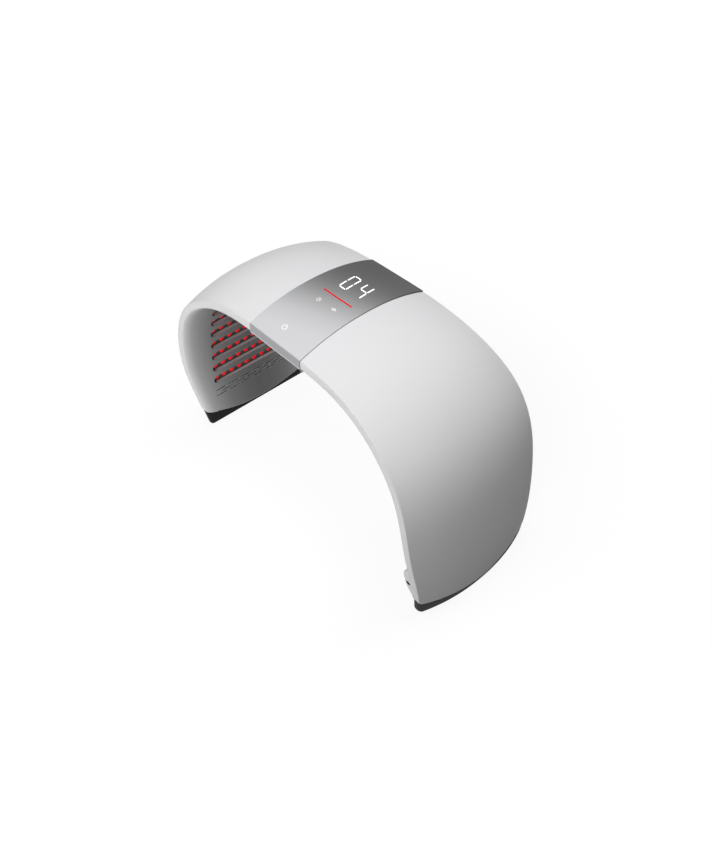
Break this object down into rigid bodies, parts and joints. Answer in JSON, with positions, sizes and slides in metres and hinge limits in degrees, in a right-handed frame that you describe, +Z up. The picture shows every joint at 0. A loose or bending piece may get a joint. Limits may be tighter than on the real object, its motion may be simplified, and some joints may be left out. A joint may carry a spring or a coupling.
{
  "type": "led facial phototherapy lamp",
  "caption": "Free-standing arch lamp for the face: a display module between two folding wings with rows of red LEDs behind slots, on two black feet.",
  "frame": {"origin": "on the floor, in the middle of the lamp's footprint", "axes": "+X from the left wing's foot to the right wing's foot, as seen from the front; +Y from the front to the back; +Z up"},
  "size_m": [0.4554, 0.2068, 0.303],
  "materials": {
    "shell_plastic": "satin light grey",
    "panel_plastic": "satin mid grey",
    "cover_plastic": "satin grey, lighter to the front",
    "trim_plastic": "pale grey",
    "display_lens": "lit white",
    "light_bar_lens": "lit red",
    "led_board_face": "board with lit red LEDs",
    "circuit_board": "green solder mask",
    "spreader_aluminium": "mill finish",
    "hinge_steel": "dark",
    "screw_steel": "blackened",
    "foot_rubber": "smooth black",
    "black_plastic": "black"
  },
  "bodies": {
    "module": {"module_cover": "cover_plastic", "module_base": "trim_plastic", "digit_display": "display_lens", "status_light_bar": "light_bar_lens", "control_board": "circuit_board", "touch_board": "circuit_board", "buzzer": "black_plastic", "module_led_board": "led_board_face", "hinge_leaf_module_left_front": "hinge_steel", "hinge_leaf_module_left_back": "hinge_steel", "hinge_leaf_module_right_front": "hinge_steel", "hinge_leaf_module_right_back": "hinge_steel", "hinge_pin_left_front": "hinge_steel", "hinge_pin_left_back": "hinge_steel", "hinge_pin_right_front": "hinge_steel", "hinge_pin_right_back": "hinge_steel", "hinge_screw_module_left_front_1": "screw_steel", "hinge_screw_module_left_front_2": "screw_steel", "hinge_screw_module_left_back_1": "screw_steel", "hinge_screw_module_left_back_2": "screw_steel", "hinge_screw_module_right_front_1": "screw_steel", "hinge_screw_module_right_front_2": "screw_steel", "hinge_screw_module_right_back_1": "screw_steel", "hinge_screw_module_right_back_2": "screw_steel"},
    "left_wing": {"wing_shell_left": "shell_plastic", "wing_panel_left": "panel_plastic", "led_board_left": "led_board_face", "heat_spreader_left": "spreader_aluminium", "foot_left": "foot_rubber", "foot_screw_left_1": "screw_steel", "foot_screw_left_2": "screw_steel", "hinge_leaf_wing_left_front": "hinge_steel", "hinge_leaf_wing_left_back": "hinge_steel", "hinge_screw_wing_left_front_1": "screw_steel", "hinge_screw_wing_left_front_2": "screw_steel", "hinge_screw_wing_left_back_1": "screw_steel", "hinge_screw_wing_left_back_2": "screw_steel"},
    "right_wing": {"wing_shell_right": "shell_plastic", "wing_panel_right": "panel_plastic", "led_board_right": "led_board_face", "heat_spreader_right": "spreader_aluminium", "foot_right": "foot_rubber", "foot_screw_right_1": "screw_steel", "foot_screw_right_2": "screw_steel", "hinge_leaf_wing_right_front": "hinge_steel", "hinge_leaf_wing_right_back": "hinge_steel", "hinge_screw_wing_right_front_1": "screw_steel", "hinge_screw_wing_right_front_2": "screw_steel", "hinge_screw_wing_right_back_1": "screw_steel", "hinge_screw_wing_right_back_2": "screw_steel", "power_socket": "black_plastic", "driver_board": "circuit_board"}
  },
  "joints": [
    {"name": "left_fold", "type": "hinge", "parent": "module", "child": "left_wing", "pos_m": [-0.04067, 0, 0.27329], "axis": [0, -1, 0], "range_deg": [0, 35]},
    {"name": "right_fold", "type": "hinge", "parent": "module", "child": "right_wing", "pos_m": [0.04067, 0, 0.27329], "axis": [0, 1, 0], "range_deg": [0, 35]}
  ]
}
